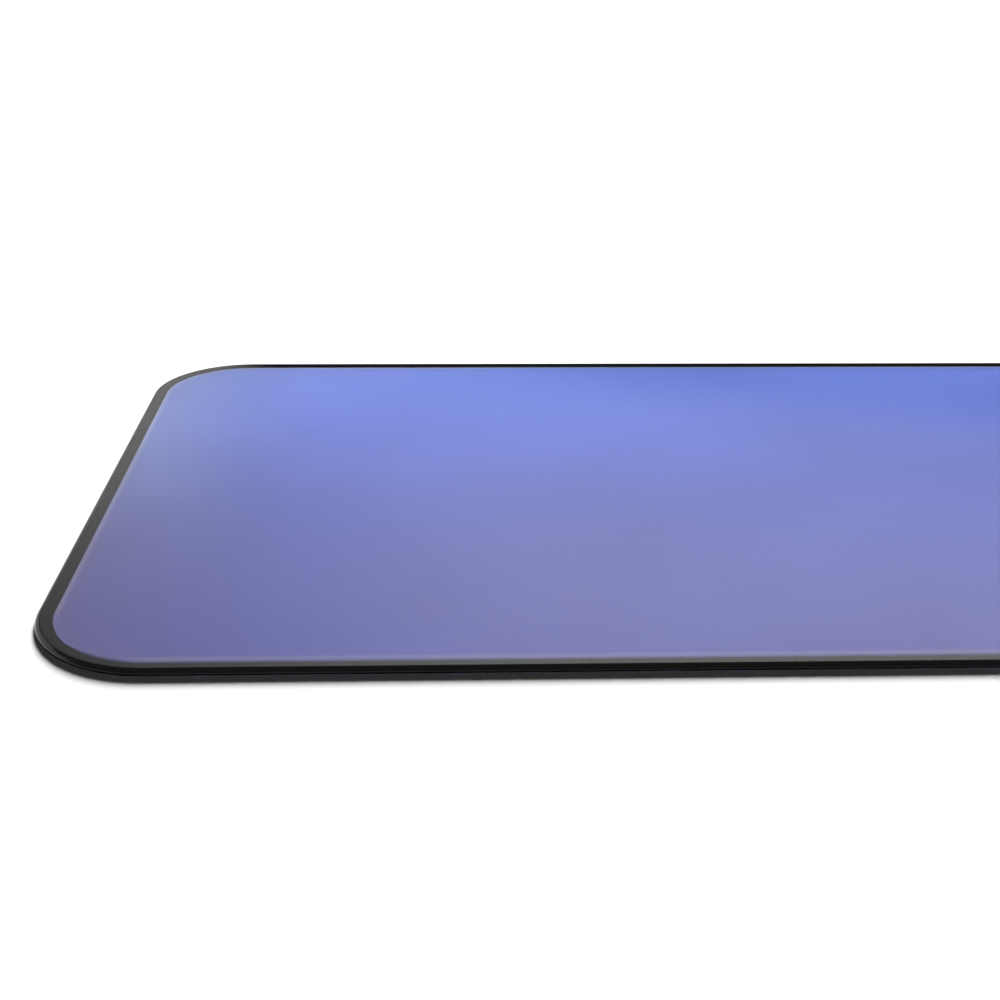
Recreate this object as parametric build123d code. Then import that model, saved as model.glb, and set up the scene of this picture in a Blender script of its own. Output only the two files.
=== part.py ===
"""Phone screen protector: one tempered-glass pane with a curved edge and a black border printed on its back.

Millimetres, +Z up. The origin is the centre of the back face, which lies on the phone.
+X runs along the pane's length and +Y across its width.
"""

import os

from build123d import *

# The pane's outline
pane_length = 145.4
pane_width = 69.0
corner_radius = 9.6

# The pane's edge, from the back face up
pane_thickness = 0.45
back_arris = 0.04
edge_land_height = 0.10
edge_curve_width = 0.45

# The black border printed on the back
border_width = 1.30
print_setback = 0.12
print_thickness = 0.03


def outline(inset):
    """The pane's rounded outline, drawn in by the same distance all round."""
    return RectangleRounded(
        pane_length - 2 * inset,
        pane_width - 2 * inset,
        corner_radius - inset,
    )


def edge_waste():
    """What grinding takes off the top edge: the corner above a quarter ellipse, carried round the outline."""
    edge = -pane_width / 2
    curve_height = pane_thickness - edge_land_height
    section_plane = Plane(origin=(0, edge, 0), x_dir=(0, 1, 0), z_dir=(1, 0, 0))
    curve_start = (0, edge_land_height)
    curve_end = (edge_curve_width, pane_thickness)
    curve = EllipticalCenterArc(
        center=(edge_curve_width, edge_land_height),
        x_radius=edge_curve_width,
        y_radius=curve_height,
        start_angle=90,
        arc_size=90,
    )
    corner = Polyline(curve_end, (0, pane_thickness), curve_start)
    section = section_plane * make_face([curve, corner])
    return sweep(section, path=outline(0).face().outer_wire())


def black_border():
    """The printed frame round the clear window, flush with the back face."""
    return extrude(outline(print_setback) - outline(border_width), print_thickness)


def glass_pane():
    """The clear pane, its top edge ground to a curve and its back edge blunted, with the print let into it."""
    blank = extrude(outline(0), pane_thickness)
    back_edges = blank.faces().sort_by(Axis.Z)[0].edges()
    return chamfer(back_edges, back_arris) - edge_waste() - black_border()


os.makedirs("parts", exist_ok=True)
export_step(glass_pane(), "parts/glass_pane.step")
export_step(black_border(), "parts/black_border.step")
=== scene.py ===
"""A phone screen protector: a thin pane of tempered glass with a curved edge.

A black border is printed on its back. Lengths are in metres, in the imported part's frame: +X along the
pane, +Y across it, +Z up.
"""

import math

import bmesh
import bpy
from mathutils import Matrix, Vector


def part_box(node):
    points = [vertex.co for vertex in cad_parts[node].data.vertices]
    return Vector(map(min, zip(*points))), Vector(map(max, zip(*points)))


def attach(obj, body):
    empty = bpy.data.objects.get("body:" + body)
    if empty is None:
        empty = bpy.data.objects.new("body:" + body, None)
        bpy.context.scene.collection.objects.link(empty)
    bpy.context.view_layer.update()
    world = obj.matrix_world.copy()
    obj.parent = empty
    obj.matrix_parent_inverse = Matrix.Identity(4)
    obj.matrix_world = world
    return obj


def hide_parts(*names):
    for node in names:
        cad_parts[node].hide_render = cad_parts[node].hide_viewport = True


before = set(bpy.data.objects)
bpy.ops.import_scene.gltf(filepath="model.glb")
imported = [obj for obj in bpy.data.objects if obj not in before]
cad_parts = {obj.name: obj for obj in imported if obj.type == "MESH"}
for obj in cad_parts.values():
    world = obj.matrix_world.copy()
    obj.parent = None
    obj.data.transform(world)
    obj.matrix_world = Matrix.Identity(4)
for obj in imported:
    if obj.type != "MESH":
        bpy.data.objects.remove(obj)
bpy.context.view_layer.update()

MM = 0.001

# Sizes of the part that the boxes of its nodes don't give
CORNER_RADIUS = 9.6 * MM
EDGE_CURVE_WIDTH = 0.45 * MM
EDGE_LAND_HEIGHT = 0.10 * MM
BACK_ARRIS = 0.04 * MM
BORDER_WIDTH = 1.30 * MM

# Sizes read from the boxes of its nodes
PANE_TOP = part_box("glass_pane")[1]
BORDER_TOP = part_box("black_border")[1]
HALF_LENGTH = PANE_TOP.x
HALF_WIDTH = PANE_TOP.y
PANE_THICKNESS = PANE_TOP.z
PRINT_THICKNESS = BORDER_TOP.z
PRINT_SETBACK = PANE_TOP.x - BORDER_TOP.x

# How far the ink reaches into the glass, so that no air shows between them
INK_CONTACT = 0.003 * MM

# Fineness of the meshes
ARC_STEPS = 48
CURVE_STEPS = 16
SHARP_ANGLE = math.radians(30)

# How strongly the glass bends light where it is bare, and where it is glued down
BARE_IOR = 1.5
GLUED_IOR = 1.01

# The coating's colour along the front and the back, each at the left end and past it
FRONT_END_COLOUR = (0.38, 0.37, 0.58, 1)
FRONT_COLOUR = (0.36, 0.375, 0.69, 1)
BACK_END_COLOUR = (0.485, 0.57, 0.88, 1)
BACK_COLOUR = (0.46, 0.565, 0.98, 1)
END_LENGTH = 22 * MM
CLOUD_SCALE = 28.0
CLOUD_RANGE = (0.35, 0.65)
CLOUD_TINTS = (0.97, 1.03)

# What the coating is multiplied by near the edge, and over what widths: painted shade on the curved edge
# and at the ink's edge, and a painted highlight line
BLACK = (0, 0, 0, 1)
PLAIN = (1, 1, 1, 1)
# Painted shade at the ink's edge, and the painted highlight line just inside it
PAINTED_SHADE_AT_INK = (0.10, 0.10, 0.12, 1)
PAINTED_HIGHLIGHT_LINE = (1.75, 1.55, 1.02, 1)
EDGE_FADE = 0.40 * MM
FRONT_SHADE_WIDTH = 0.60 * MM
SHADE_WIDTH = 0.10 * MM
FRONT_SHADE_FADE = (-HALF_WIDTH + 2 * MM, -HALF_WIDTH + 5 * MM)
LINE_FADE_START = 0.15 * MM
LINE_FADE_END = 0.50 * MM
CORNER_LINE_LOSS = 0.75
CORNER_LOSS_FADE = (-20 * MM, 0.0)
CORNER_REACH = 2.0 * MM

# The grain of the ink and of the land
GRAIN_DETAIL = 3.0
GRAIN_RANGE = (0.3, 0.7)

# The pane's slots for the finishes of its back and its land
BACK_SLOT = 1
LAND_SLOT = 2

# The normal's height below which a face counts as part of the back
FACING_DOWN = -0.99

# The camera
CAMERA_TARGET = Vector((-36.877 * MM, -4.782 * MM, PANE_THICKNESS))
CAMERA_DISTANCE = 131.21 * MM
CAMERA_PITCH = math.radians(23.419)
CAMERA_YAW = math.radians(-2.469)
CAMERA_ROLL = math.radians(0.676)
CAMERA_LENS_MM = 52.90
CAMERA_SENSOR_MM = 36.0
CAMERA_CLIP_START = 1 * MM
CAMERA_CLIP_END = 10.0

# The floor
FLOOR_HALF = 3.0
FLOOR_DROP = 0.05 * MM
FLOOR_COLOUR = (0.85, 0.85, 0.86, 1)
FLOOR_ROUGHNESS = 0.8

# How bright the parts of the studio are that the glass mirrors, and what is added where it is seen directly
WALL_LOW_LEFT = 0.80
WALL_LOW_RIGHT = 0.50
WALL_BOTTOM = 0.60
WALL_HIGH_LEFT = 0.42
WALL_HIGH_RIGHT = 1.30
SIDE_PANEL = 0.68
CEILING = 0.16
SEEN_DIRECTLY = 2.0

# How much of the wall's brightness its dark parts take away
GAP_SHADE = 0.85
FOOT_SHADE = 0.92
LOW_SHADE = 0.65

# Where the parts of the studio change sideways, as a share of the direction to them
WALL_LOW_TURN = (-0.20, -0.12)
WALL_HIGH_TURN = (-0.30, 0.10)
GAP_LEFT = (-0.44, -0.41)
GAP_RIGHT = (-0.31, -0.35)
PANEL_EDGE = (-0.47, -0.43)
FOOT_LEFT = (-0.15, -0.11)
SHADE_LEFT = (-0.10, 0.15)

# Where the wall and its foot begin, from the near side to the back
WALL_FRONT = (-0.30, 0.10)
FOOT_FRONT = (0.60, 0.80)

# How far up the foot reaches for each length of the way back, and how it ends there
FOOT_SLOPE = 0.3293
FOOT_TOP = (0.0003, 0.0010)

# The lights, with their lean in degrees
LIGHT_ANGLE = math.radians(20)
BACK_LIGHT_ENERGY = 21.0
BACK_LIGHT_LEAN = 76.5
FILL_LIGHT_ENERGY = 0.10
FILL_LIGHT_LEAN = -20


def outline(inset, height):
    """Points of the pane's rounded outline, drawn in by inset, at one height."""
    radius = CORNER_RADIUS - inset
    centre_x = HALF_LENGTH - CORNER_RADIUS
    centre_y = HALF_WIDTH - CORNER_RADIUS
    points = []
    for quarter, (side_x, side_y) in enumerate(((1, 1), (-1, 1), (-1, -1), (1, -1))):
        for step in range(ARC_STEPS + 1):
            angle = (quarter + step / ARC_STEPS) * math.pi / 2
            x = side_x * centre_x + radius * math.cos(angle)
            y = side_y * centre_y + radius * math.sin(angle)
            points.append((x, y, height))
    return points


def swept_piece(name, section, capped):
    """A piece whose section, a list of (inset, height), is carried round the outline.

    A capped section is open and has a flat face inside its first and last loop.
    Any other closes on itself.
    """
    mesh = bmesh.new()
    loops = [[mesh.verts.new(point) for point in outline(*station)] for station in section]
    count = len(loops[0])
    pairs = list(zip(loops, loops[1:]))
    if not capped:
        pairs.append((loops[-1], loops[0]))
    for lower, upper in pairs:
        for i in range(count):
            j = (i + 1) % count
            mesh.faces.new((lower[i], lower[j], upper[j], upper[i]))
    if capped:
        mesh.faces.new(reversed(loops[0]))
        mesh.faces.new(loops[-1])
    data = bpy.data.meshes.new(name)
    mesh.to_mesh(data)
    mesh.free()
    data.shade_smooth()
    data.set_sharp_from_angle(angle=SHARP_ANGLE)
    piece = bpy.data.objects.new(name, data)
    bpy.context.scene.collection.objects.link(piece)
    normals = piece.modifiers.new("flat_faces_stay_flat", "WEIGHTED_NORMAL")
    normals.keep_sharp = True
    return piece


def pane_section():
    """The pane's section from the back of the window, out round the edge, to the top face."""
    curve_height = PANE_THICKNESS - EDGE_LAND_HEIGHT
    section = [
        (BORDER_WIDTH, 0.0),
        (BORDER_WIDTH, PRINT_THICKNESS),
        (PRINT_SETBACK, PRINT_THICKNESS),
        (PRINT_SETBACK, 0.0),
        (BACK_ARRIS, 0.0),
        (0.0, BACK_ARRIS),
    ]
    for step in range(CURVE_STEPS + 1):
        turn = step / CURVE_STEPS * math.pi / 2
        inset = EDGE_CURVE_WIDTH * (1 - math.cos(turn))
        section.append((inset, EDGE_LAND_HEIGHT + curve_height * math.sin(turn)))
    section.append((BORDER_WIDTH, PANE_THICKNESS))
    return section


def border_section():
    """The printed border's section, which reaches a hair into the glass round it."""
    outer = PRINT_SETBACK - INK_CONTACT
    inner = BORDER_WIDTH + INK_CONTACT
    top = PRINT_THICKNESS + INK_CONTACT
    return [(inner, 0.0), (outer, 0.0), (outer, top), (inner, top)]


class Nodes:
    """Short ways to add nodes to one material or world."""

    def __init__(self, owner):
        owner.use_nodes = True
        self.tree = owner.node_tree
        self.tree.nodes.clear()

    def add(self, kind, inputs=None, **settings):
        """A node with its settings, and its inputs set to values or linked from sockets."""
        node = self.tree.nodes.new(kind)
        for name, value in settings.items():
            setattr(node, name, value)
        for name, value in (inputs or {}).items():
            if isinstance(value, bpy.types.NodeSocket):
                self.tree.links.new(value, node.inputs[name])
            else:
                node.inputs[name].default_value = value
        return node

    def maths(self, operation, a, b=0.0, c=0.0):
        return self.add("ShaderNodeMath", {0: a, 1: b, 2: c}, operation=operation).outputs[0]

    def vector_maths(self, operation, a, b=(0, 0, 0)):
        return self.add("ShaderNodeVectorMath", {0: a, 1: b}, operation=operation)

    def ease(self, value, start, end, low=0.0, high=1.0):
        """low up to start, high from end, and a smooth step between."""
        inputs = {"Value": value, 1: start, 2: end, 3: low, 4: high}
        return self.add("ShaderNodeMapRange", inputs, interpolation_type="SMOOTHSTEP").outputs[0]

    def tint(self, colour, by):
        """A colour multiplied by another colour or by a number."""
        return self.vector_maths("MULTIPLY", colour, by).outputs[0]

    def mix(self, factor, a, b):
        """A colour between two others."""
        inputs = {"Factor": factor, 6: a, 7: b}
        return self.add("ShaderNodeMix", inputs, data_type="RGBA").outputs[2]

    def blend(self, factor, a, b):
        """A number between two others."""
        return self.add("ShaderNodeMix", {0: factor, 2: a, 3: b}, data_type="FLOAT").outputs[0]

    def noise(self, place, scale, detail=2.0):
        inputs = {"Vector": place, "Scale": scale, "Detail": detail}
        return self.add("ShaderNodeTexNoise", inputs).outputs[0]


def edge_place(nodes, place):
    """How far a point lies in from the pane's outer edge, and how far into a corner.

    The first goes up to the corner radius.
    """
    core = (HALF_LENGTH - CORNER_RADIUS, HALF_WIDTH - CORNER_RADIUS, 1.0)
    folded = nodes.vector_maths("ABSOLUTE", place).outputs[0]
    beyond = nodes.vector_maths("SUBTRACT", folded, core).outputs[0]
    outside = nodes.vector_maths("MAXIMUM", beyond).outputs[0]
    reach = nodes.vector_maths("LENGTH", outside).outputs["Value"]
    axes = nodes.add("ShaderNodeSeparateXYZ", {0: outside}).outputs
    return nodes.maths("SUBTRACT", CORNER_RADIUS, reach), nodes.maths("MINIMUM", axes[0], axes[1])


def coating_colour(nodes, place):
    """The coating's colour, with a faint cloud in it.

    It is violet along the front, light blue along the back, and greyer at the left end.
    """
    axes = nodes.add("ShaderNodeSeparateXYZ", {0: place}).outputs
    along = nodes.ease(axes[0], -HALF_LENGTH, -HALF_LENGTH + END_LENGTH)
    across = nodes.ease(axes[1], -HALF_WIDTH, HALF_WIDTH)
    front = nodes.mix(along, FRONT_END_COLOUR, FRONT_COLOUR)
    back = nodes.mix(along, BACK_END_COLOUR, BACK_COLOUR)
    even = nodes.mix(across, front, back)
    cloud = nodes.noise(place, CLOUD_SCALE)
    return nodes.tint(even, nodes.ease(cloud, *CLOUD_RANGE, *CLOUD_TINTS))


def painted_edge_shade(nodes, place):
    """What the top's colour is multiplied by, a painted shade: 0 on the curved edge, and up to 1 just
    inside it.
    """
    inward = edge_place(nodes, place)[0]
    past_edge = nodes.ease(inward, EDGE_CURVE_WIDTH, EDGE_CURVE_WIDTH + EDGE_FADE)
    return nodes.mix(past_edge, BLACK, PLAIN)


def window_rim(nodes, place):
    """What the back's colour is multiplied by: painted shade from where it meets the ink outwards, then a
    painted highlight line, then 1.

    The painted shade is wider along the front, and the highlight line is weaker in the front corners.
    """
    inward, round_corner = edge_place(nodes, place)
    depth = nodes.add("ShaderNodeSeparateXYZ", {0: place}).outputs[1]
    # The painted shade at the ink reaches further in along the front
    shade_width = nodes.ease(depth, *FRONT_SHADE_FADE, FRONT_SHADE_WIDTH, SHADE_WIDTH)
    shade_end = nodes.maths("ADD", shade_width, BORDER_WIDTH)
    past_shade = nodes.ease(inward, BORDER_WIDTH, shade_end)
    line_start = nodes.maths("ADD", shade_end, LINE_FADE_START)
    line_end = nodes.maths("ADD", shade_end, LINE_FADE_END)
    past_line = nodes.ease(inward, line_start, line_end)
    loss = nodes.ease(depth, *CORNER_LOSS_FADE, CORNER_LINE_LOSS, 0.0)
    loss = nodes.maths("MULTIPLY", loss, nodes.ease(round_corner, 0.0, CORNER_REACH))
    # A painted highlight line, weaker in the front corners
    line = nodes.mix(loss, PAINTED_HIGHLIGHT_LINE, PLAIN)
    # Painted shade where the window meets the ink and outside it
    rim = nodes.mix(past_shade, PAINTED_SHADE_AT_INK, line)
    return nodes.mix(past_line, rim, PLAIN)


def glass_material(name, ior, shade):
    """Polished glass with a blue-violet coating, multiplied by what shade gives: painted shade near the
    edges, and on the back a painted highlight line.
    """
    material = bpy.data.materials.new(name)
    nodes = Nodes(material)
    place = nodes.add("ShaderNodeTexCoord").outputs["Object"]
    colour = nodes.tint(coating_colour(nodes, place), shade(nodes, place))
    shader = nodes.add(
        "ShaderNodeBsdfPrincipled",
        {"Base Color": colour, "Roughness": 0.0, "IOR": ior, "Transmission Weight": 1.0},
    )
    nodes.add("ShaderNodeOutputMaterial", {"Surface": shader.outputs[0]})
    return material


def grained_material(name, scale, colours, roughnesses):
    """A finish that doesn't mirror, with a fine grain between two colours and two roughnesses."""
    material = bpy.data.materials.new(name)
    nodes = Nodes(material)
    place = nodes.add("ShaderNodeTexCoord").outputs["Object"]
    grain = nodes.noise(place, scale, GRAIN_DETAIL)
    colour = nodes.mix(grain, *colours)
    roughness = nodes.ease(grain, *GRAIN_RANGE, *roughnesses)
    shader = nodes.add(
        "ShaderNodeBsdfPrincipled",
        {"Base Color": colour, "Roughness": roughness, "Specular IOR Level": 0.0},
    )
    nodes.add("ShaderNodeOutputMaterial", {"Surface": shader.outputs[0]})
    return material


def ink_material():
    """Dense black screen ink. The glass over it gives it its gloss."""
    colours = (0.002, 0.002, 0.003, 1), (0.006, 0.006, 0.007, 1)
    return grained_material("black_ink", 6000.0, colours, (0.40, 0.55))


def land_painted_shade_material():
    """The finely ground land at the foot of the edge: matt, and near-black as painted shade."""
    # Near-black colours that are painted shade; the matt finish is the grinding
    colours = (0.010, 0.010, 0.011, 1), (0.022, 0.022, 0.024, 1)
    return grained_material("land_painted_shade", 9000.0, colours, (0.60, 0.80))


def inset_of(x, y):
    """How far a point lies in from the pane's outline, up to the corner radius."""
    past_x = max(abs(x) - HALF_LENGTH + CORNER_RADIUS, 0.0)
    past_y = max(abs(y) - HALF_WIDTH + CORNER_RADIUS, 0.0)
    return CORNER_RADIUS - math.hypot(past_x, past_y)


def finish_faces(pane):
    """Gives the back the finish of glass with glue on it, which hardly mirrors, and the land its own, matt
    with painted shade.
    """
    pane.data.materials.append(glass_material("glued_glass", GLUED_IOR, window_rim))
    pane.data.materials.append(land_painted_shade_material())
    for face in pane.data.polygons:
        if face.normal.z < FACING_DOWN:
            face.material_index = BACK_SLOT
        elif face.center.z < EDGE_LAND_HEIGHT and inset_of(face.center.x, face.center.y) < BACK_ARRIS:
            face.material_index = LAND_SLOT


def dress(piece, material, node):
    """Gives a piece its finish, and puts it in the place of its node."""
    piece.data.materials.append(material)
    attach(piece, "root")
    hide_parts(node)


def make_floor():
    """A plain white floor."""
    data = bpy.data.meshes.new("floor")
    corners = [(-1, -1), (1, -1), (1, 1), (-1, 1)]
    points = [(FLOOR_HALF * x, FLOOR_HALF * y, -FLOOR_DROP) for x, y in corners]
    data.from_pydata(points, [], [(0, 1, 2, 3)])
    floor = bpy.data.objects.new("floor", data)
    bpy.context.scene.collection.objects.link(floor)
    material = bpy.data.materials.new("white_floor")
    nodes = Nodes(material)
    shader = nodes.add(
        "ShaderNodeBsdfPrincipled",
        {"Base Color": FLOOR_COLOUR, "Roughness": FLOOR_ROUGHNESS, "Specular IOR Level": 0.0},
    )
    nodes.add("ShaderNodeOutputMaterial", {"Surface": shader.outputs[0]})
    data.materials.append(material)


def rise(degrees):
    """The height of a direction that looks up by so many degrees."""
    return math.sin(math.radians(degrees))


def back_wall(nodes, side, height):
    """How bright the wall behind is, up to where it ends.

    Low down it is brighter at the left, and dims towards the bottom. High up it is brighter at the right.
    A dark gap parts it from a panel at the far left.
    """
    low = nodes.ease(side, *WALL_LOW_TURN, WALL_LOW_LEFT, WALL_LOW_RIGHT)
    bottom = nodes.ease(height, rise(11), rise(18), WALL_BOTTOM, WALL_LOW_LEFT)
    low = nodes.maths("MINIMUM", low, bottom)
    high = nodes.ease(side, *WALL_HIGH_TURN, WALL_HIGH_LEFT, WALL_HIGH_RIGHT)
    wall = nodes.blend(nodes.ease(height, rise(19), rise(28)), low, high)
    gap = nodes.maths("MULTIPLY", nodes.ease(side, *GAP_LEFT), nodes.ease(side, *GAP_RIGHT))
    gap = nodes.maths("MULTIPLY", gap, nodes.ease(height, rise(17), rise(21), 0.0, GAP_SHADE))
    wall = nodes.maths("MULTIPLY", wall, nodes.maths("SUBTRACT", 1.0, gap))
    panel = nodes.ease(side, *PANEL_EDGE, SIDE_PANEL, 0.0)
    wall = nodes.maths("MAXIMUM", wall, panel)
    return nodes.maths("MULTIPLY", wall, nodes.ease(height, rise(34), rise(40), 1.0, 0.0))


def wall_foot(nodes, side, depth, height):
    """How much of the brightness is taken away by the wall's dark foot and a softer shade at the right.

    The foot ends at the left and lies only behind. The shade reaches a little above it.
    """
    over_foot = nodes.maths("MULTIPLY_ADD", depth, -FOOT_SLOPE, height)
    foot = nodes.ease(over_foot, *FOOT_TOP, FOOT_SHADE, 0.0)
    foot = nodes.maths("MULTIPLY", foot, nodes.ease(side, *FOOT_LEFT))
    foot = nodes.maths("MULTIPLY", foot, nodes.ease(depth, *FOOT_FRONT))
    shade = nodes.ease(height, rise(18.2), rise(20), LOW_SHADE, 0.0)
    shade = nodes.maths("MULTIPLY", shade, nodes.ease(side, *SHADE_LEFT))
    return nodes.maths("MAXIMUM", foot, shade)


def make_world():
    """A white studio. What the glass mirrors is a wall behind, and a dim ceiling and near side.

    It doesn't light the floor.
    """
    world = bpy.data.worlds.new("studio")
    nodes = Nodes(world)
    way = nodes.add("ShaderNodeTexCoord").outputs["Generated"]
    side, depth, height = nodes.add("ShaderNodeSeparateXYZ", {0: way}).outputs
    wall = nodes.maths("MULTIPLY", back_wall(nodes, side, height), nodes.ease(depth, *WALL_FRONT))
    room = nodes.maths("MAXIMUM", wall, CEILING)
    unshaded = nodes.maths("SUBTRACT", 1.0, wall_foot(nodes, side, depth, height))
    room = nodes.maths("MULTIPLY", room, unshaded)
    seen_directly = nodes.add("ShaderNodeLightPath").outputs["Is Camera Ray"]
    strength = nodes.maths("MULTIPLY_ADD", seen_directly, SEEN_DIRECTLY, room)
    background = nodes.add("ShaderNodeBackground", {"Color": PLAIN, "Strength": strength})
    nodes.add("ShaderNodeOutputWorld", {"Surface": background.outputs[0]})
    world.cycles_visibility.diffuse = False
    bpy.context.scene.world = world


def make_light(name, energy, lean):
    """A soft far light that isn't mirrored. It shines down, turned towards the front by lean degrees."""
    light = bpy.data.lights.new(name, "SUN")
    light.energy = energy
    light.angle = LIGHT_ANGLE
    lamp = bpy.data.objects.new(name, light)
    bpy.context.scene.collection.objects.link(lamp)
    lamp.rotation_euler = (math.radians(-lean), 0, 0)
    lamp.visible_glossy = False


def make_camera():
    """The camera, at its distance from its target, looking down on the pane from the front."""
    data = bpy.data.cameras.new("camera")
    data.lens = CAMERA_LENS_MM
    data.sensor_width = CAMERA_SENSOR_MM
    data.clip_start = CAMERA_CLIP_START
    data.clip_end = CAMERA_CLIP_END
    camera = bpy.data.objects.new("camera", data)
    bpy.context.scene.collection.objects.link(camera)
    turn = Matrix.Rotation(CAMERA_YAW, 4, "Z")
    turn @= Matrix.Rotation(math.radians(90) - CAMERA_PITCH, 4, "X")
    turn @= Matrix.Rotation(CAMERA_ROLL, 4, "Z")
    back = turn.to_3x3() @ Vector((0, 0, 1))
    camera.matrix_world = Matrix.Translation(CAMERA_TARGET + CAMERA_DISTANCE * back) @ turn
    bpy.context.scene.camera = camera


bpy.context.scene.view_settings.view_transform = "Standard"
glass = swept_piece("glass", pane_section(), True)
# The coated top, with painted shade on its curved edge
dress(glass, glass_material("coated_glass", BARE_IOR, painted_edge_shade), "glass_pane")
finish_faces(glass)
border = swept_piece("printed_border", border_section(), False)
dress(border, ink_material(), "black_border")
make_floor()
make_world()
make_light("back_light", BACK_LIGHT_ENERGY, BACK_LIGHT_LEAN)
make_light("fill_light", FILL_LIGHT_ENERGY, FILL_LIGHT_LEAN)
make_camera()
